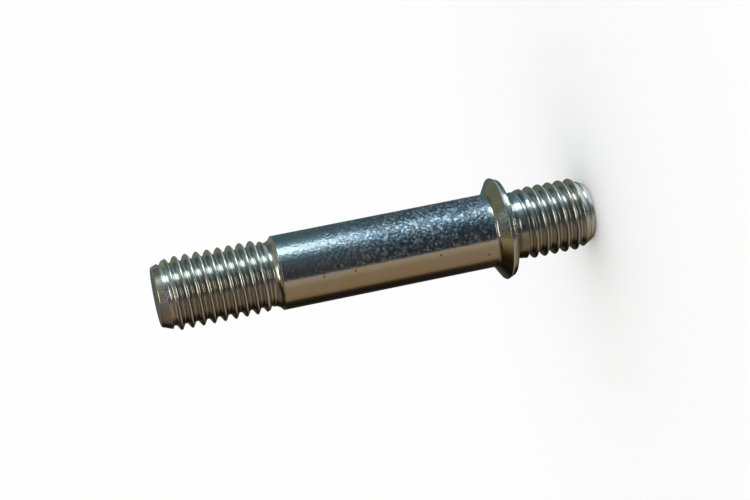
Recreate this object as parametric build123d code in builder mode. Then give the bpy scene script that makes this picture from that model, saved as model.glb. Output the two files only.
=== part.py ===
from build123d import *
import os
from math import tan, radians

os.makedirs("parts", exist_ok=True)

# Double ended stud with a collar, turned and thread rolled from one steel bar.
# It stands on the end of its short thread: z is the axis of the stud and z = 0 its lower end face.
# All sizes are in millimetres and all angles in degrees.

# Lengths along the axis, from the lower end face
total_length = 71.8
collar_face = 14.3
rim_width = 1.08
shank_end = 52.25

# Shank, collar and the bar that the threads are rolled on.
# The collar's upper side is a cone, at this angle to the plane of its rim
shank_r = 6.0
collar_r = 8.35
cone_angle = 32.3
blank_r = 5.43

# The hollow where the cone meets the shank, and the flare where the neck meets the collar's flat side
cone_fillet = 0.9
neck_flare = 0.65

# Both threads are right-handed M12 with the standard coarse pitch. The flanks of the groove meet in
# a sharp root: a rolled root is rounded there, but too finely to be worth its faces
pitch = 1.75
crest_r = 5.88
root_r = 4.69
flank_angle = 30

# Height at which a crest crosses the +X side, which sets how each thread is turned
long_crest = 66.1
short_crest = 7.53

# Turns of groove on each end, and the turns among them that lie below that crest
long_turns = 12
long_turns_below = 8
short_turns = 9
short_turns_below = 5

# Short thread: pointed end, last full crest, and the neck that it runs out into
short_point_length = 2.35
short_point_angle = 30.6
short_full_end = 9.8
short_fade_end = 12.5
neck_start = 12.3
neck_tip = 11.0

# Long thread: the shoulder that it runs out against, first full crest, and pointed end
shoulder_tip = 54.05
long_fade_start = 54.25
long_full_start = 55.2
long_point_length = 2.9
long_point_angle = 20.8

# How far the groove tool reaches past the crests, how far joined pieces overlap, and the radius of
# the tips of the cones that bury the ends of the grooves, which is less than that of the root
groove_overrun = 0.2
overlap = 0.6
core_r = 4.6

# Angle round the axis at which each turn of the groove starts
groove_start_angle = 33

cone_top = collar_face + rim_width
cone_foot = cone_top + (collar_r - shank_r) * tan(radians(cone_angle))
short_point_r = crest_r - short_point_length * tan(radians(short_point_angle))
long_point_r = crest_r - long_point_length * tan(radians(long_point_angle))
groove_r = crest_r + groove_overrun
groove_width = 2 * (groove_r - root_r) * tan(radians(flank_angle))


def corner(section, r, z):
    """The corner of the half section that lies at radius r and height z."""
    return section.vertices().sort_by_distance((r, z))[0]


def groove_heights(crest_height, turns_below, turns):
    """Where the turns of a groove start: it runs half a pitch below the crest."""
    start = crest_height - (turns_below + 0.5) * pitch + pitch * groove_start_angle / 360
    return [(0, 0, start + turn * pitch) for turn in range(turns)]


# One turn of the groove that the rolling dies press in, with flanks at 60 degrees to each other
with BuildPart() as groove:
    with BuildLine() as helix:
        Helix(pitch=pitch, height=pitch, radius=root_r)
    with BuildSketch(Plane.XZ) as tooth:
        with BuildLine():
            Polyline(
                (root_r, 0),
                (groove_r, -groove_width / 2),
                (groove_r, groove_width / 2),
                close=True,
            )
        make_face()
    sweep(sections=tooth.sketch, path=helix.line, is_frenet=True)

# Long threaded end: pointed above, and turned down to the blank where the thread fades out
with BuildPart() as long_end:
    with BuildSketch(Plane.XZ):
        with BuildLine():
            Polyline(
                (0, shank_end - overlap),
                (blank_r, shank_end - overlap),
                (blank_r, long_fade_start),
                (crest_r, long_full_start),
                (crest_r, total_length - long_point_length),
                (long_point_r, total_length),
                (0, total_length),
                close=True,
            )
        make_face()
    revolve(axis=Axis.Z)
    with Locations(*groove_heights(long_crest, long_turns_below, long_turns)):
        add(groove.part, rotation=(0, 0, groove_start_angle), mode=Mode.SUBTRACT)

# Short threaded end: pointed below, and fades out into the neck
with BuildPart() as short_end:
    with BuildSketch(Plane.XZ):
        with BuildLine():
            Polyline(
                (0, 0),
                (short_point_r, 0),
                (crest_r, short_point_length),
                (crest_r, short_full_end),
                (blank_r, short_fade_end),
                (blank_r, collar_face - overlap),
                (0, collar_face - overlap),
                close=True,
            )
        make_face()
    revolve(axis=Axis.Z)
    with Locations(*groove_heights(short_crest, short_turns_below, short_turns)):
        add(groove.part, rotation=(0, 0, groove_start_angle), mode=Mode.SUBTRACT)

# The stud: neck, collar and shank in one turned piece, with a threaded end on each side.
# Its two end cones bury the last turns of the grooves, as the edges of the rolling dies leave them.
with BuildPart() as stud:
    with BuildSketch(Plane.XZ) as body_section:
        with BuildLine():
            Polyline(
                (0, neck_tip),
                (core_r, neck_tip),
                (blank_r, neck_start),
                (blank_r, collar_face),
                (collar_r, collar_face),
                (collar_r, cone_top),
                (shank_r, cone_foot),
                (shank_r, shank_end),
                (core_r, shoulder_tip),
                (0, shoulder_tip),
                close=True,
            )
        make_face()
        fillet(corner(body_section, shank_r, cone_foot), cone_fillet)
        chamfer(corner(body_section, blank_r, collar_face), neck_flare)
    revolve(axis=Axis.Z)
    add([long_end.part, short_end.part])

stud.part.label = "stud"
export_step(stud.part, "parts/stud.step")
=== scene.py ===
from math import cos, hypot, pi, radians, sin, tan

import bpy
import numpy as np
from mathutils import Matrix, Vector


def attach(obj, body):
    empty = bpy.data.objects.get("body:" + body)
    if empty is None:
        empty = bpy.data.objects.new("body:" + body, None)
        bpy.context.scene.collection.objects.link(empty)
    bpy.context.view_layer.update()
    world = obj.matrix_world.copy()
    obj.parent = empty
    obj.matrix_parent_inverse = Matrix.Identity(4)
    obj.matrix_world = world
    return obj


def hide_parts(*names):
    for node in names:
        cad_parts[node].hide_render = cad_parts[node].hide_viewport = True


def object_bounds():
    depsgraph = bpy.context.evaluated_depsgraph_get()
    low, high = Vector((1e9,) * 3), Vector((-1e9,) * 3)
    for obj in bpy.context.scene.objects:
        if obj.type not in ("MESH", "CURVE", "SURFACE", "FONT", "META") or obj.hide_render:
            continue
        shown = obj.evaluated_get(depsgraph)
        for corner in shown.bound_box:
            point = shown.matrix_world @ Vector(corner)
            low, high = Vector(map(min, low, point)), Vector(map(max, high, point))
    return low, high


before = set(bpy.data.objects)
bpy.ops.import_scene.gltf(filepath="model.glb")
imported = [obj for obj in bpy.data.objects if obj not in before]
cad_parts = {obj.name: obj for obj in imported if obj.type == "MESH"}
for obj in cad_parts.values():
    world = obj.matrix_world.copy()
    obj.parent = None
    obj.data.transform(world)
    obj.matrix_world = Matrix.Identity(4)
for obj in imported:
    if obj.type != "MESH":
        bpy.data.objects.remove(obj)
cad_low, cad_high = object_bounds()

# %% [markdown]
# # A double ended stud
#
# This stud is a steel bar with an M12 thread at each end, a plain shank between them and a thin
# collar that stops it at the right depth. The short thread is screwed into a casting up to the
# collar, and the part to be held slides over the shank and is clamped by a nut on the long thread.
#
# The CAD solid has the turned form and both threads, with sharp roots and flat crests. This script
# draws the stud once more as one closed mesh with the rounded crests, roots, edges and run-outs of
# a real one, and adds the zinc plate, the light and the camera. Blender works in metres. The stud's
# own sizes are easier to read in millimetres, so they are turned into metres where the mesh is
# made. The axis of the stud is z, and the front is the side towards the camera, at -y.

mm = 0.001
print("CAD box in mm:", [round(v / mm, 2) for v in (*cad_low, *cad_high)])

# %% [markdown]
# ## The sizes of the stud
#
# The overall length and the collar's radius are read from the CAD solid's box, so the two models
# cannot drift apart. The other sizes are the ones that a turner and a thread roller would be given.
# The bar is turned to the blank's radius before rolling. That is about halfway between root and
# crest, because rolling cuts nothing away: what is pressed out of the root rises into the crest.

# %% Radii and heights, in millimetres
length = round(cad_high[2] / mm, 2)
collar_r = round(cad_high[0] / mm, 2)
shank_r = 6.0
crest_r = 5.88
blank_r = 5.43

short_point_r = 4.49
short_point_end = 2.35
short_full_end = 9.8
neck_start = 12.5
collar_face = 14.3
rim_top = 15.38
cone_foot = 16.866
shank_end = 52.25
hollow_end = 53.95
long_full_start = 55.2
long_point_start = 68.9
long_point_r = 4.78
print("length and collar diameter in mm:", length, 2 * collar_r)

# %% [markdown]
# ## The outline that the lathe turns
#
# A turned part is a half section spun round its axis, so the model starts from the same list of
# corners as the real part's drawing: radius, height, and how much each corner is rounded. Blender
# could spin such a line with its Screw modifier, but a thread has to be cut into it afterwards, and
# a boolean on a helix is fragile. So the section becomes rows of points, and each row's radius can
# then be lowered where the thread's groove runs.
#
# Beside the long thread the rolling dies press the bar into a shallow hollow under the shoulder.

# %% Corners of the half section
corners = [
    # radius, height, rounding
    (0.0, 0.0, 0.0),
    (short_point_r, 0.0, 0.45),
    (crest_r, short_point_end, 0.0),
    (crest_r, short_full_end, 0.0),
    (blank_r, neck_start, 0.0),
    (blank_r, collar_face, 0.65),
    (collar_r, collar_face, 0.45),
    (collar_r, rim_top, 0.12),
    (shank_r, cone_foot, 0.9),
    (shank_r, shank_end, 0.06),
    # the hollow under the shoulder
    (5.72, 52.43, 0.1),
    (5.45, 52.72, 0.3),
    (5.22, 53.15, 0.4),
    (5.08, 53.6, 0.4),
    (blank_r, hollow_end, 0.1),
    (5.5, 54.3, 0.0),
    # the long thread and its point
    (crest_r, long_full_start, 0.0),
    (crest_r, long_point_start, 0.0),
    (long_point_r, length, 0.2),
    (0.0, length, 0.0),
]
print("corners:", len(corners), "of which rounded:", sum(rounding > 0 for *_, rounding in corners))

# %% [markdown]
# ## Rounded corners
#
# No corner of a tumbled and plated part is sharp: a tool's nose, the tumbling and the plate each
# round it a little, and that is where a metal part catches a thin line of light. Blender's Bevel
# modifier could do it on the finished mesh, but it would round the thread too. Here each corner is
# replaced by an arc that touches both of its sides, worked out like a fillet on a drawing: the
# centre lies on the line that halves the corner's angle.

# %% Arcs on the corners
arc_step = radians(11)


def rounded_outline(corners):
    """The section as points, with an arc where a corner is rounded."""
    points = []
    for i, (r, z, rounding) in enumerate(corners):
        corner = np.array([r, z])
        if not rounding:
            points.append(corner)
            continue
        before = np.array(corners[i - 1][:2]) - corner
        after = np.array(corners[i + 1][:2]) - corner
        before /= np.linalg.norm(before)
        after /= np.linalg.norm(after)
        half = np.arccos(before @ after) / 2
        halving = (before + after) / np.linalg.norm(before + after)
        centre = corner + halving * rounding / sin(half)
        start = corner + before * rounding / tan(half) - centre
        way = np.sign(start[0] * after[1] - start[1] * after[0])
        sweep = pi - 2 * half
        steps = int(np.ceil(sweep / arc_step))
        for k in range(steps + 1):
            a = way * sweep * k / steps
            rotation = np.array([[cos(a), -sin(a)], [sin(a), cos(a)]])
            points.append(centre + rotation @ start)
    return points


outline = rounded_outline(corners)
print("points in the rounded outline:", len(outline))

# %% [markdown]
# ## Rows close enough for a rolled thread
#
# One turn of the thread rises 1.75 mm. Rows 0.05 mm apart put 35 of them in each turn, enough for
# the rounded crest to show in a highlight. The plain shank, the neck and the collar keep only the
# points of their outline, because a straight line needs none between its ends.

# %% Rows of the mesh
row_gap = 0.05
short_zone_end = 13.2
long_zone_start = 53.2


def in_thread(a, b):
    """Whether a stretch between two heights lies in one of the threaded zones."""
    return max(a, b) <= short_zone_end or min(a, b) >= long_zone_start


rows = [outline[0]]
for start, end in zip(outline, outline[1:]):
    rise = abs(end[1] - start[1])
    parts = max(1, int(np.ceil(rise / row_gap))) if in_thread(start[1], end[1]) else 1
    for k in range(1, parts + 1):
        rows.append(start + (end - start) * k / parts)
rows = np.array(rows)
print("rows:", len(rows))

# %% [markdown]
# ## The thread as a rule for the radius
#
# Thread rolling presses hard steel dies into the bar, so the metal flows: the flanks stand at 60
# degrees to each other, the crests are rounded and the roots are smooth. Such a form could be swept
# along a helix, but it is simpler to say how deep the groove is at each point of the bar. For a
# point at a given height and angle, the distance along the axis to the middle of the nearest root
# gives the radius there. The root climbs one pitch in one turn, which is all that makes it a helix.

# %% Size of an M12 coarse thread
pitch = 1.75
root_r = 4.95
flank_angle = radians(30)
root_rounding = 0.33
crest_rounding = 0.35

# Where the flanks would meet if the root were not rounded
sharp_root_r = root_r - root_rounding * (1 / sin(flank_angle) - 1)
print("radius of the sharp root in mm:", round(sharp_root_r, 3))

# %% Rounding where two surfaces meet


def smooth_min(a, b, k):
    """The smaller of two numbers, with the corner where they cross rounded over a width k."""
    h = np.clip(0.5 + 0.5 * (b - a) / k, 0, 1)
    return b + (a - b) * h - k * h * (1 - h)


print("two surfaces that meet at 1 mm, rounded over 0.4 mm:", smooth_min(1.0, 1.0, 0.4))

# %% Radius of an endless thread


def thread_radius(height, angle, crest_height):
    """Radius from crest to round root. A crest crosses the +x side at the given height."""
    turns = (height - crest_height) / pitch - angle / (2 * pi) + 0.5
    from_root = np.abs(turns - np.round(turns)) * pitch
    flank = sharp_root_r + from_root / tan(flank_angle)
    in_root = np.minimum(from_root, root_rounding * cos(flank_angle))
    root = root_r + root_rounding - np.sqrt(root_rounding**2 - in_root**2)
    groove = np.where(from_root < root_rounding * cos(flank_angle), root, flank)
    return smooth_min(groove, crest_r, crest_rounding)


print("half a pitch under a crest, in mm:", round(float(thread_radius(0.0, 0.0, pitch / 2)), 3))

# %% [markdown]
# ## Threads on the bar, with their run-outs
#
# The dies end in a short taper, so towards the neck and the shoulder the groove gets shallower and
# its root rises to the bar's own radius. A boolean would need a tapered cutter for that. Here the
# root simply rises in straight slopes, given by height. The thread is then laid over the turned
# outline: wherever the groove is deeper than the outline it wins, and its edge on the points and
# run-outs is rounded slightly.

# %% Radius of every point of the mesh
columns = 128
long_crest = 66.1
short_crest = 7.53
edge_rounding = 0.06

# Height, and how far the root has risen there
short_run_out = [(10.8, 0.0), (12.8, 0.4), (13.2, 0.7)]
long_run_out = [(53.0, 0.7), (54.0, 0.0)]

angles = np.arange(columns) * 2 * pi / columns
height, angle = np.meshgrid(rows[:, 1], angles, indexing="ij")
turned = np.repeat(rows[:, :1], columns, axis=1)

short_rise = np.interp(height, *zip(*short_run_out))
long_rise = np.interp(height, *zip(*long_run_out))
short_thread = thread_radius(height, angle, short_crest) + short_rise
long_thread = thread_radius(height, angle, long_crest) + long_rise
thread = np.where(height < collar_face, short_thread, long_thread)
is_plain = (height > short_zone_end) & (height < long_run_out[0][0])
threaded = np.minimum(turned, smooth_min(turned, thread, edge_rounding))
radius = np.where(is_plain, turned, threaded)
in_full_thread = (height > long_full_start) & (height < long_point_start)
print("radius at the long thread's roots in mm:", round(float(radius[in_full_thread].min()), 3))

# %% [markdown]
# ## From rows to a closed mesh
#
# Each row is a ring of points, neighbouring rings are joined by four-sided faces, and the first and
# last rows are single points on the axis that close the ends with triangles. The faces are shaded
# smooth, because every real corner is already rounded in the rows.

# %% Points and faces
rings = np.stack([radius * np.cos(angle), radius * np.sin(angle), height], axis=-1)[1:-1]
last_ring = len(rings) - 1
points = [(0, 0, 0), *(tuple(p) for p in rings.reshape(-1, 3)), (0, 0, length)]
points = [(x * mm, y * mm, z * mm) for x, y, z in points]
lower_tip, upper_tip = 0, len(points) - 1


def point_at(ring, column):
    """Number of a point, from its ring and its column counted round the stud."""
    return 1 + ring * columns + column % columns


faces = []
for c in range(columns):
    faces.append((lower_tip, point_at(0, c + 1), point_at(0, c)))
    faces.append((upper_tip, point_at(last_ring, c), point_at(last_ring, c + 1)))
for ring in range(last_ring):
    for c in range(columns):
        lower = point_at(ring, c), point_at(ring, c + 1)
        upper = point_at(ring + 1, c + 1), point_at(ring + 1, c)
        faces.append(lower + upper)
print("faces:", len(faces), "triangles:", sum(len(f) - 2 for f in faces))

# %% The stud
mesh = bpy.data.meshes.new("threaded_stud")
mesh.from_pydata(points, [], faces)
mesh.shade_smooth()
stud = bpy.data.objects.new("threaded_stud", mesh)
bpy.context.collection.objects.link(stud)
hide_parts("stud")
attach(stud, "root")
print("size of the stud in mm:", [round(side / mm, 2) for side in stud.dimensions])

# %% [markdown]
# ## Colours as numbers
#
# Colours are written as they look on a screen, as sRGB hex. A screen value is bent to suit the eye,
# and light has to be added up straight, so one function turns the one into the other. It can also
# make a colour brighter than white, which is what a lamp or a window is.

# %% From sRGB hex to linear light


def linear(hex_colour, strength=1.0):
    """An sRGB hex colour as linear red, green, blue and 1."""
    channels = [int(hex_colour[i : i + 2], 16) / 255 for i in (1, 3, 5)]
    light = [c / 12.92 if c <= 0.04045 else ((c + 0.055) / 1.055) ** 2.4 for c in channels]
    return (*[c * strength for c in light], 1.0)


print("middle grey on a screen is this much light:", round(linear("#808080")[0], 3))

# %% [markdown]
# ## One function for every node
#
# A material is a tree of nodes, and joining them by hand in the editor leaves nothing to read. Each
# node here is added by the same function, which sets it up and joins its inputs. An input is named
# as in the editor, with _ for a space, or _0 and _1 where a node has two of one name. It takes a
# value, an output of another node, or that node itself, whose first output in use is then joined. A
# colour ramp also takes stops, as a place from 0 to 1 and a colour, or one number for a grey.

# %% Adding a node, and an empty material


def add(tree, kind, settings=None, stops=(), **inputs):
    """Adds a node, sets it up, gives a colour ramp its stops and joins the inputs."""
    node = tree.nodes.new(kind)
    for name, value in (settings or {}).items():
        setattr(node, name, value)
    for i, (place, paint) in enumerate(stops):
        elements = node.color_ramp.elements
        if i == 0:
            elements.remove(elements[1])
            elements[0].position = place
        stop = elements.new(place) if i else elements[0]
        stop.color = paint if isinstance(paint, tuple) else (paint, paint, paint, 1)
    for name, value in inputs.items():
        if name[1:].isdigit():
            socket = node.inputs[int(name[1:])]
        else:
            label = name.replace("_", " ")
            socket = next(s for s in node.inputs if s.enabled and s.name == label)
        if isinstance(value, bpy.types.Node):
            value = next(s for s in value.outputs if s.enabled)
        if isinstance(value, bpy.types.NodeSocket):
            tree.links.new(value, socket)
        else:
            socket.default_value = value
    return node


def new_material(name):
    """An empty material and its tree of nodes."""
    material = bpy.data.materials.new(name)
    material.use_nodes = True
    material.node_tree.nodes.clear()
    return material, material.node_tree


node_kinds = [kind for kind in dir(bpy.types) if kind.startswith("ShaderNode")]
print("kinds of node to choose from:", len(node_kinds))

# %% [markdown]
# ## Zinc plate with a clear passivate
#
# The steel is electroplated with a few thousandths of a millimetre of zinc and dipped in a clear
# chromate, which turns the surface into a thin hard film. The zinc gives a bright, slightly cool
# metal with a crystalline grain, and the film is so thin that light splits in it, which tints the
# metal in faint yellow, pink and green patches.
#
# A painted texture could show all this, but it would have to be unwrapped round the threads. A
# procedural material knows where each point lies on the stud, so it can put the grain, the stains
# and the knocks where plating and handling put them. The first cell works out that place: height
# along the stud, turn round its axis from the front, and distance out from the axis.

# %% Places on the stud, in millimetres
zinc, tree = new_material("zinc_plate_clear_passivated")

# Settings that come back are kept under a name
times = {"operation": "MULTIPLY"}
object_place = add(tree, "ShaderNodeTexCoord").outputs["Object"]
in_mm = add(tree, "ShaderNodeVectorMath", {"operation": "SCALE"}, _0=object_place, Scale=1 / mm)
x, y, z = add(tree, "ShaderNodeSeparateXYZ", Vector=in_mm).outputs
towards_front = add(tree, "ShaderNodeMath", times, _0=y, _1=-1.0)
turn = add(tree, "ShaderNodeMath", {"operation": "ARCTAN2"}, _0=x, _1=towards_front)
across_axis = add(tree, "ShaderNodeVectorMath", times, _0=in_mm, _1=(1, 1, 0))
out = add(tree, "ShaderNodeVectorMath", {"operation": "LENGTH"}, _0=across_axis)

# A colour ramp runs from 0 to 1, so height and turn are also given on that scale
along = add(tree, "ShaderNodeMath", {"operation": "DIVIDE"}, _0=z, _1=length)
around = add(tree, "ShaderNodeMapRange", Value=turn, From_Min=-pi, From_Max=pi)
print("nodes that give a place:", len(tree.nodes))

# %% [markdown]
# ## The tints of the passivate
#
# Where the film is a little thicker or thinner, another colour of light is lost in it, as in oil on
# water. On a clear passivate the tints are faint and their patches run over several millimetres. A
# thin film could be worked out from its thickness, but the tint would then wander with the
# viewpoint far more than it does on a real stud. A soft noise through a ramp of five near-greys
# keeps it quiet.

# %% Faint patches of colour
patch_size = 6.0
tints = [
    (0.3, linear("#D9DED6")),
    (0.42, linear("#DCDFE0")),
    (0.52, linear("#D8DCDD")),
    (0.62, linear("#DEDBD0")),
    (0.72, linear("#DDD6D2")),
]
patches = add(tree, "ShaderNodeTexNoise", Vector=in_mm, Scale=1 / patch_size, Detail=2.0)
tint = add(tree, "ShaderNodeValToRGB", stops=tints, Fac=patches)
print("patches of tint, mm across:", patch_size)

# %% [markdown]
# ## Where the deposit is coarse
#
# Zinc builds up fastest on the side that faces the anode in the plating bath, and there its
# crystals grow coarse. The threads are burnished by rolling and keep the finest grain. So one
# number, from 0.1 for smooth plate to 1 for the coarsest, is made from two ramps: one along the
# stud, highest beside the collar, and one round it, with a short edge at the front where the
# shaded side starts. Everything that the grain changes below follows this number.

# %% Stops by height and by turn


def along_stops(stops):
    """Stops given by height in millimetres, for a ramp along the stud."""
    return [(z / length, amount) for z, amount in stops]


def around_stops(stops):
    """Stops given by angle in degrees, for a ramp all the way round from -180 to 180."""
    return [((degrees + 180) / 360, paint) for degrees, paint in stops]


print("the front lies on the ramp at", around_stops([(0, 1)])[0][0])

# %% How coarse the deposit is
coarse_by_height = [
    (0, 0.1),
    (14, 0.1),
    (14.36, 0.3),
    (17.23, 0.3),
    (18.31, 1),
    (35.9, 0.8),
    (52.13, 0.4),
    (52.34, 0.1),
]
coarse_by_turn = [(-180, 0.1), (-16.2, 0.1), (-12.6, 1), (126, 1), (180, 0.1)]
coarse = add(tree, "ShaderNodeValToRGB", stops=along_stops(coarse_by_height), Fac=along)
anode_side = add(tree, "ShaderNodeValToRGB", stops=around_stops(coarse_by_turn), Fac=around)
# This number also darkens the colour below, most beside the collar, which is partly painted shade.
grainy = add(tree, "ShaderNodeMath", times, _0=coarse, _1=anode_side)
coarsest = max(coarse_by_height, key=lambda stop: stop[1])[0]
print("coarsest at", coarsest, "mm up, just past the collar, which ends at", cone_foot, "mm")

# %% [markdown]
# ## The grain itself
#
# Real zinc crystals are about 0.05 mm across, which is too fine to show here, so they are drawn
# nearly 0.5 mm across. Each leans its own way and so throws the light aside. Modelled crystals
# would need millions of faces, so noise stands for them: a bump for the lean, a second noise that
# paints some crystals bright and some dark in the colour, as painted glints and painted shade, and
# a roughness that blurs what they mirror. Between smooth and coarse plate lies a plain duller one,
# without specks, whose darker colour is partly painted shade.

# %% Crystals that lean
crystal_size = 0.48
lean = 0.12 * mm
grain = add(tree, "ShaderNodeTexNoise", Vector=in_mm, Scale=1 / crystal_size, Detail=1.0)
normal = add(tree, "ShaderNodeBump", Strength=grainy, Distance=lean, Height=grain)
print("crystals drawn across in mm:", crystal_size)

# %% Bright and dark specks: painted glints and painted shade
speck_size = 0.45
glint_and_shade_speck_colours = [
    (0.36, linear("#5E6C78")),
    (0.5, linear("#77889A")),
    (0.66, linear("#D2DCE4")),
]

# The fourth dimension only picks another part of the noise, so specks and bumps do not coincide
other_noise = {"noise_dimensions": "4D"}
speck_scale = 1 / speck_size
specks = add(
    tree, "ShaderNodeTexNoise", other_noise, Vector=in_mm, W=7.0, Scale=speck_scale, Detail=1.0
)
glinting_and_shaded_specks = add(tree, "ShaderNodeValToRGB", stops=glint_and_shade_speck_colours, Fac=specks)
print("specks drawn across in mm:", speck_size)

# %% Smooth, dull and speckled plate, darkened towards the collar as painted shade
blend = {"data_type": "RGBA"}
tint_by = {"data_type": "RGBA", "blend_type": "MULTIPLY"}
# The dull and speckled colours are darker than the tint: painted shade that dims what the plate
# mirrors beside the collar, besides the coarse grain.
dull_and_shaded_zinc = linear("#B2BABE")
how_dull_and_shaded = add(tree, "ShaderNodeMapRange", Value=grainy, From_Min=0.1, From_Max=0.4)
how_much_painted_speckle = add(tree, "ShaderNodeMapRange", Value=grainy, From_Min=0.45, From_Max=0.85)
deposit_and_painted_shade = add(tree, "ShaderNodeMix", blend, Factor=how_much_painted_speckle, A=dull_and_shaded_zinc, B=glinting_and_shaded_specks)
plate = add(tree, "ShaderNodeMix", tint_by, Factor=how_dull_and_shaded, A=tint, B=deposit_and_painted_shade)
print("share of light that dull zinc mirrors:", [round(c, 2) for c in dull_and_shaded_zinc[:3]])

# %% Blur of the mirror
burnished = 0.15
matt = 0.36
roughness = add(
    tree,
    "ShaderNodeMapRange",
    Value=grainy,
    From_Min=0.25,
    From_Max=0.9,
    To_Min=burnished,
    To_Max=matt,
)
print("roughness from", burnished, "to", matt)

# %% [markdown]
# ## Stained grooves with painted shade
#
# The crests are rubbed bright, and the flanks are painted a shade darker, darkest low down by the
# root, as painted shade in the grooves of the thread. The roots are a pale straw colour, where the
# passivate runs down into the grooves and dries thicker. The distance out from the axis says how
# deep in the groove a point lies, so a ramp over that distance paints all three at once, without
# any unwrapping. A ramp along the stud keeps the stain and the painted shade on the threads.

# %% Where the stain and the painted shade of the grooves are
stain_and_shade_by_height = [
    (0, 0),
    (2.23, 0),
    (2.58, 1),
    (13.28, 1),
    (13.64, 0),
    (52.99, 0),
    (53.28, 1),
    (68.57, 1),
    (69.29, 0),
]
on_thread = add(tree, "ShaderNodeValToRGB", stops=along_stops(stain_and_shade_by_height), Fac=along)
print("stops of the stain along the stud:", len(stain_and_shade_by_height))

# %% Colour and painted shade by depth in the groove
rubbed_depth = 0.04
stain_and_shade_colours = [
    (0.0, linear("#FFFFFF")),
    (0.15, linear("#DADEDE")),
    (0.6, linear("#CCD0D2")),
    (0.9, linear("#E8E4D8")),
]
stain_and_shade_top = crest_r - rubbed_depth
depth = add(tree, "ShaderNodeMapRange", Value=out, From_Min=stain_and_shade_top, From_Max=root_r)
# The darker flanks in this ramp are painted shade in the grooves. The straw at the root is the
# passivate's own colour.
groove_stain_and_shade = add(tree, "ShaderNodeValToRGB", stops=stain_and_shade_colours, Fac=depth)
stained_and_shaded = add(tree, "ShaderNodeMix", tint_by, Factor=on_thread, A=plate, B=groove_stain_and_shade)
print("stained from the root up to a radius of", round(stain_and_shade_top, 2), "mm")

# %% [markdown]
# ## A few knocks
#
# Studs are tumbled and shipped loose, so they knock against each other and the bright plate breaks
# in small dark spots. Four of them lie on the plain side of the shank. A dent of a tenth of a
# millimetre would need a far finer mesh, so each is a spot in the colour alone: it is darkest where
# a point is nearest to the middle of the knock.

# %% Dark spots on the shank
knocks = [
    # degrees round from the front, height in mm
    (-19.5, 45.8),
    (-20.0, 40.7),
    (-23.1, 26.7),
    (-38.7, 18.8),
]
knock_r = 0.3
knock_core_r = 0.08
worn = 0.0
for degrees, knock_height in knocks:
    a = radians(degrees)
    spot = (shank_r * sin(a), -shank_r * cos(a), knock_height)
    far = add(tree, "ShaderNodeVectorMath", {"operation": "DISTANCE"}, _0=in_mm, _1=spot)
    near = add(tree, "ShaderNodeMapRange", Value=far, From_Min=knock_r, From_Max=knock_core_r)
    worn = add(tree, "ShaderNodeMath", {"operation": "MAXIMUM"}, _0=worn, _1=near)
broken_plate = linear("#ACA29C")
knocked = add(tree, "ShaderNodeMix", tint_by, Factor=worn, A=stained_and_shaded, B=broken_plate)
print("knocks:", len(knocks))

# %% [markdown]
# ## The metal
#
# Zinc is a metal all over, so Metallic is 1, its base colour is the colour of its reflection, and
# the IOR stays at its default. All the rest comes from the pieces above.

# %% Shader of the plate
metal = add(
    tree,
    "ShaderNodeBsdfPrincipled",
    Base_Color=knocked,
    Metallic=1.0,
    Roughness=roughness,
    Normal=normal,
)
add(tree, "ShaderNodeOutputMaterial", Surface=metal)
mesh.materials.append(zinc)
print("material:", zinc.name, "with", len(tree.nodes), "nodes")

# %% [markdown]
# ## The floor
#
# The stud stands on a plain white sheet. It is matt, so that it takes only a soft shadow, and it is
# so wide that its edge is never seen. A curved backdrop is the usual way, but a curve shades from
# white to grey, and a flat sheet under an even sky stays white to the horizon. The metal is kept
# from mirroring it, because a tent of light is set round the stud for that.

# %% Matt white paper
paper_white = "#FEFEFE"
paper, tree = new_material("matt_white_paper")
sheet = add(tree, "ShaderNodeBsdfDiffuse", Color=linear(paper_white))
add(tree, "ShaderNodeOutputMaterial", Surface=sheet)
print("material:", paper.name)

# %% Sheet, in metres
paper_r = 8.0
paper_corners = 96
rim_angles = [2 * pi * k / paper_corners for k in range(paper_corners)]
paper_rim = [(paper_r * cos(a), paper_r * sin(a), 0) for a in rim_angles]
floor_mesh = bpy.data.meshes.new("floor")
floor_mesh.from_pydata(paper_rim, [], [tuple(range(paper_corners))])
floor = bpy.data.objects.new("floor", floor_mesh)
bpy.context.collection.objects.link(floor)
floor.data.materials.append(paper)
floor.visible_glossy = False
print("floor across in m:", round(floor.dimensions.x, 1))

# %% [markdown]
# ## A tent that the metal mirrors
#
# Polished metal has no look of its own: it shows what stands round it. In a studio, cards and light
# boxes are therefore hung round such a part. Each could be a lit plane in the scene, but then each
# would also light the floor. Here they are painted on the inside of one sphere that only mirrored
# light can see, and that lights nothing else. The paint depends only on the direction from the
# middle of the tent: how far to the side, how far ahead as the camera looks, and how far up.

# %% Directions from the middle of the tent
tent_material, tree = new_material("studio_cards")
tent_place = add(tree, "ShaderNodeTexCoord").outputs["Object"]
direction = add(tree, "ShaderNodeVectorMath", {"operation": "NORMALIZE"}, _0=tent_place)
side, ahead, up = add(tree, "ShaderNodeSeparateXYZ", Vector=direction).outputs
bearing = add(tree, "ShaderNodeMath", {"operation": "ARCTAN2"}, _0=side, _1=ahead)
all_round = add(tree, "ShaderNodeMapRange", Value=bearing, From_Min=-pi, From_Max=pi)


def card_stops(cards):
    """Stops round the tent, from cards given as degrees, colour and perhaps strength."""
    return around_stops([(degrees, linear(*paint)) for degrees, *paint in cards])


print("nodes that give a direction:", len(tree.nodes))

# %% [markdown]
# ## The walls
#
# An upright cylinder mirrors the whole horizon, squeezed into upright bands. So the walls are
# painted round the compass. A bright window stands on the lit side, at 107 to 122 degrees, and is
# the long highlight on the shank. Behind the camera the room is dim, which is the dark band down
# the middle, and the other side has a tan card and a black edge, which draws the stud's outline.

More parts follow.
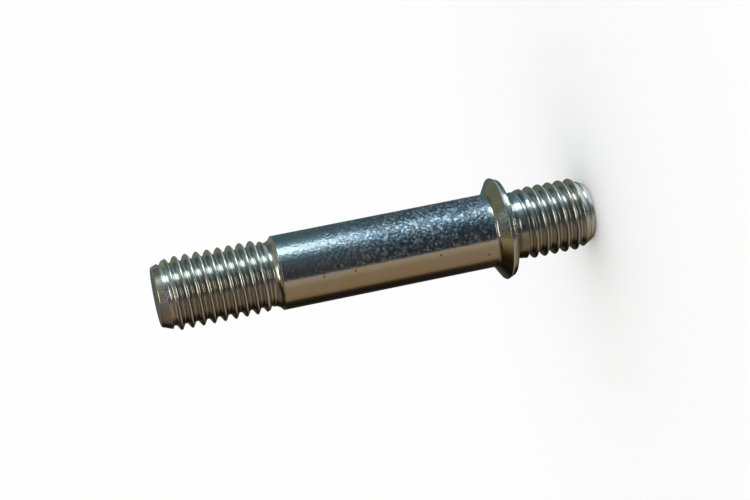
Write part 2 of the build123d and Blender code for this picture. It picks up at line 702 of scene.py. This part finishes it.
# %% Walls round the stud
wall_cards = [
    # degrees, colour, and strength where it is a light
    (-180, "#545254"),
    (-168, "#383636"),
    (-160, "#444548"),
    (-151, "#585A5E"),
    (-147, "#A0907E"),
    (-140, "#A08E76"),
    (-124, "#8C7659"),
    (-94, "#8A7356"),
    (-81, "#826B4E"),
    (-74, "#403324"),
    (-65, "#221B12"),
    (-40, "#1C1610"),
    (-10, "#444840"),
    (25, "#66787A"),
    (70, "#6A8488"),
    (86, "#7A9CA6"),
    (101, "#A4C8D4"),
    (107, "#DCEEF4", 3.2),
    (112, "#DCEEF4", 3.9),
    (122, "#DCEEF4", 4.0),
    (129, "#B4D8E4"),
    (141, "#82A0AC"),
    (153, "#62767E"),
    (166, "#5A6064"),
    (180, "#545254"),
]
walls = add(tree, "ShaderNodeValToRGB", stops=card_stops(wall_cards), Fac=all_round)
print("walls:", len(wall_cards), "cards")

# %% [markdown]
# ## The upper walls
#
# The point of the long thread leans back by about 20 degrees and mirrors what stands higher up. It
# shows softer bands than the shank, so the upper walls are paler and their window is weak.

# %% Walls higher up
upper_wall_cards = [
    (-180, "#64645E"),
    (-168, "#625F5A"),
    (-150, "#7C7672"),
    (-125, "#70625A"),
    (-88, "#6C5A4A"),
    (-66, "#604E40"),
    (-54, "#2A2018"),
    (-30, "#120C08"),
    (-5, "#5A5844"),
    (15, "#8C886C"),
    (35, "#84826C"),
    (58, "#5C6054"),
    (90, "#646E62"),
    (106, "#8C9A94"),
    (114, "#C8D4D0"),
    (124, "#B4BEBC"),
    (136, "#868E8C"),
    (150, "#787A76"),
    (163, "#565852"),
    (180, "#64645E"),
]
upper_walls = add(tree, "ShaderNodeValToRGB", stops=card_stops(upper_wall_cards), Fac=all_round)
print("upper walls:", len(upper_wall_cards), "cards")

# %% [markdown]
# ## The table
#
# What leans downwards, such as the lead-in point of the short thread, mirrors the table that the
# stud stands on. It is a paler beige than the card behind it, and bright on the side of the window.

# %% Table under the stud
table_cards = [
    (-180, "#5A6064"),
    (-145, "#74726C"),
    (-122, "#ACA294"),
    (-80, "#A2967E"),
    (-54, "#8E8468"),
    (-38, "#655A3C"),
    (-12, "#38352A"),
    (20, "#8898A0"),
    (45, "#E0EAF0"),
    (100, "#E0EAF0"),
    (125, "#8A98A2"),
    (150, "#626C72"),
    (180, "#5A6064"),
]
table = add(tree, "ShaderNodeValToRGB", stops=card_stops(table_cards), Fac=all_round)
print("table:", len(table_cards), "cards")

# %% [markdown]
# ## The ceiling
#
# The collar's cone leans back so far that it mirrors only the ceiling. Bearings crowd together up
# there, so the ceiling is painted in stripes instead, from its dark side at -1 to its lit side
# at 1.

# %% Striped ceiling
stripes = [
    (-0.7, "#0C0A06"),
    (-0.5, "#1F1607"),
    (-0.46, "#3C2D19"),
    (-0.4, "#685634"),
    (-0.31, "#887250"),
    (-0.17, "#92815E"),
    (-0.07, "#70664A"),
    (0.04, "#46442F"),
    (0.15, "#929888"),
    (0.24, "#BCC6B2"),
    (0.32, "#6A6A52"),
    (0.42, "#928C6C"),
    (0.7, "#80806A"),
]
from_dark_to_lit = add(tree, "ShaderNodeMapRange", Value=side, From_Min=-1.0, From_Max=1.0)
stripe_stops = [((place + 1) / 2, linear(colour)) for place, colour in stripes]
ceiling = add(tree, "ShaderNodeValToRGB", stops=stripe_stops, Fac=from_dark_to_lit)
print("ceiling:", len(stripes), "stripes")

# %% [markdown]
# ## Putting the tent together
#
# Each part of the tent lies over the ones before it, within limits with soft edges. A limit says
# where an edge starts and from where the part covers fully, so an edge that faces the other way has
# the larger number first. Several limits multiplied together make a patch.

# %% Laying one part over the others


def lay_over(below, above, limits):
    """Lays a colour over another, within limits given as (measure, where it starts, where full)."""
    cover = 1.0
    for measure, starts, full in limits:
        soft = {"interpolation_type": "SMOOTHSTEP"}
        edge = add(tree, "ShaderNodeMapRange", soft, Value=measure, From_Min=starts, From_Max=full)
        cover = add(tree, "ShaderNodeMath", times, _0=cover, _1=edge)
    return add(tree, "ShaderNodeMix", blend, Factor=cover, A=below, B=above)


above_the_walls = (up, 0.1, 0.32)
overhead = (up, 0.55, 0.75)
below_the_walls = (up, -0.22, -0.42)
inside = lay_over(walls, upper_walls, [above_the_walls])
inside = lay_over(inside, ceiling, [overhead])
inside = lay_over(inside, table, [below_the_walls])
print("nodes in the tent so far:", len(tree.nodes))

# %% [markdown]
# ## A wider window and two small lamps
#
# Above the horizon the window is wider. Only the thread's grooves and the fillets look there, and
# they show a broader highlight than the shank. The last sparkle in each turn of the thread comes
# from two small lamps over the camera, a weak low one and a warm, strong high one. Only rounded
# crests, roots and fillets lean far enough to mirror them.

# %% Window
window = linear("#F0F8FC", 3.6)
window_sides = [
    (bearing, radians(102.6), radians(108)),
    (bearing, radians(132.48), radians(126)),
]
window_ends = [(up, -0.06, 0.06), (up, 0.5, 0.4)]
inside = lay_over(inside, window, window_sides + window_ends)
print("the window is", round(max(window[:3]), 1), "times as bright as white")

# %% Lamps
low_lamp = linear("#FFF4E4", 2.0)
high_lamp = linear("#FFF6E2", 6.5)
from_middle = add(tree, "ShaderNodeMath", {"operation": "ABSOLUTE"}, _0=side)
lamp_sides = [(from_middle, 0.32, 0.16), (ahead, 0.0, -0.05)]
low_lamp_ends = [(up, 0.18, 0.24), (up, 0.42, 0.34)]
high_lamp_ends = [(up, 0.76, 0.8), (up, 0.88, 0.84)]
inside = lay_over(inside, low_lamp, lamp_sides + low_lamp_ends)
inside = lay_over(inside, high_lamp, lamp_sides + high_lamp_ends)
print("the high lamp is", round(max(high_lamp[:3]), 1), "times as bright as white")

# %% [markdown]
# ## Hanging the tent
#
# The paint glows by itself, and the sphere is hidden from every ray but a mirrored one. Blender
# would otherwise also treat it as a lamp and aim light rays at it, so that is switched off in the
# material.

# %% Sphere round the stud, in metres
tent_r = 0.6
tent_middle = (0, 0, 0.036)
glow = add(tree, "ShaderNodeEmission", Color=inside, Strength=1.0)
add(tree, "ShaderNodeOutputMaterial", Surface=glow)
tent_material.cycles.emission_sampling = "NONE"

bpy.ops.mesh.primitive_uv_sphere_add(
    segments=64, ring_count=32, radius=tent_r, location=tent_middle
)
tent = bpy.context.object
tent.name = "tent"
tent.data.materials.append(tent_material)
for ray in ("camera", "diffuse", "transmission", "volume_scatter", "shadow"):
    setattr(tent, "visible_" + ray, False)
print("tent across in m:", round(tent.dimensions.x, 2), "with", len(tree.nodes), "nodes")

# %% [markdown]
# ## Even daylight for the floor
#
# A white sky lights the paper from all sides, so the light has no edge and no falloff, and the stud
# keeps only the faint soft shadow where it stands. Lamps could be dimmed and moved until the paper
# looked even, but a sky is even from the start. Seen directly the sky has the paper's own white, so
# that no horizon shows behind the stud.

# %% White sky
world = bpy.data.worlds.new("white_sky")
bpy.context.scene.world = world
world.use_nodes = True
tree = world.node_tree
tree.nodes.clear()

seen = 0.0
rays = add(tree, "ShaderNodeLightPath").outputs
for ray in ("Is Camera Ray", "Is Glossy Ray", "Is Transmission Ray"):
    seen = add(tree, "ShaderNodeMath", {"operation": "MAXIMUM"}, _0=seen, _1=rays[ray])
daylight = linear("#FFFFFF")
sky_colour = add(tree, "ShaderNodeMix", blend, Factor=seen, A=daylight, B=linear(paper_white))
sky = add(tree, "ShaderNodeBackground", Color=sky_colour, Strength=1.0)
add(tree, "ShaderNodeOutputWorld", Surface=sky)
print("sky:", world.name)

# %% [markdown]
# ## The camera
#
# The camera stands 0.3 m away, a little above the stud and turned on its side, so the upright stud
# lies across the frame. A long lens keeps both ends nearly the same size. An Empty to look at would
# aim it too, but here its direction is set as on a tripod: tilted down from level, then rolled
# round the line of sight.

# %% Camera on its side
camera_place = (0.54 * mm, -305.2 * mm, 94.7 * mm)
tilt_down = radians(10.8973)
roll = radians(-101.337)

camera_data = bpy.data.cameras.new("camera")
camera_data.lens = 92.93
camera_data.sensor_width = 36
camera_data.clip_start = 0.01
camera = bpy.data.objects.new("camera", camera_data)
bpy.context.collection.objects.link(camera)
tilted = Matrix.Rotation(pi / 2 - tilt_down, 4, "X")
rolled = Matrix.Rotation(roll, 4, "Z")
camera.matrix_world = Matrix.Translation(camera_place) @ tilted @ rolled
bpy.context.scene.camera = camera
bpy.context.scene.view_settings.view_transform = "Standard"
print("camera to the stud's axis in m:", round(hypot(*camera_place[:2]), 3))

# %% [markdown]
# ## The size
#
# The finished stud is meant to stay inside the CAD solid's box, so that box is printed near the top
# and the stud's size once its mesh is made, both in mm.
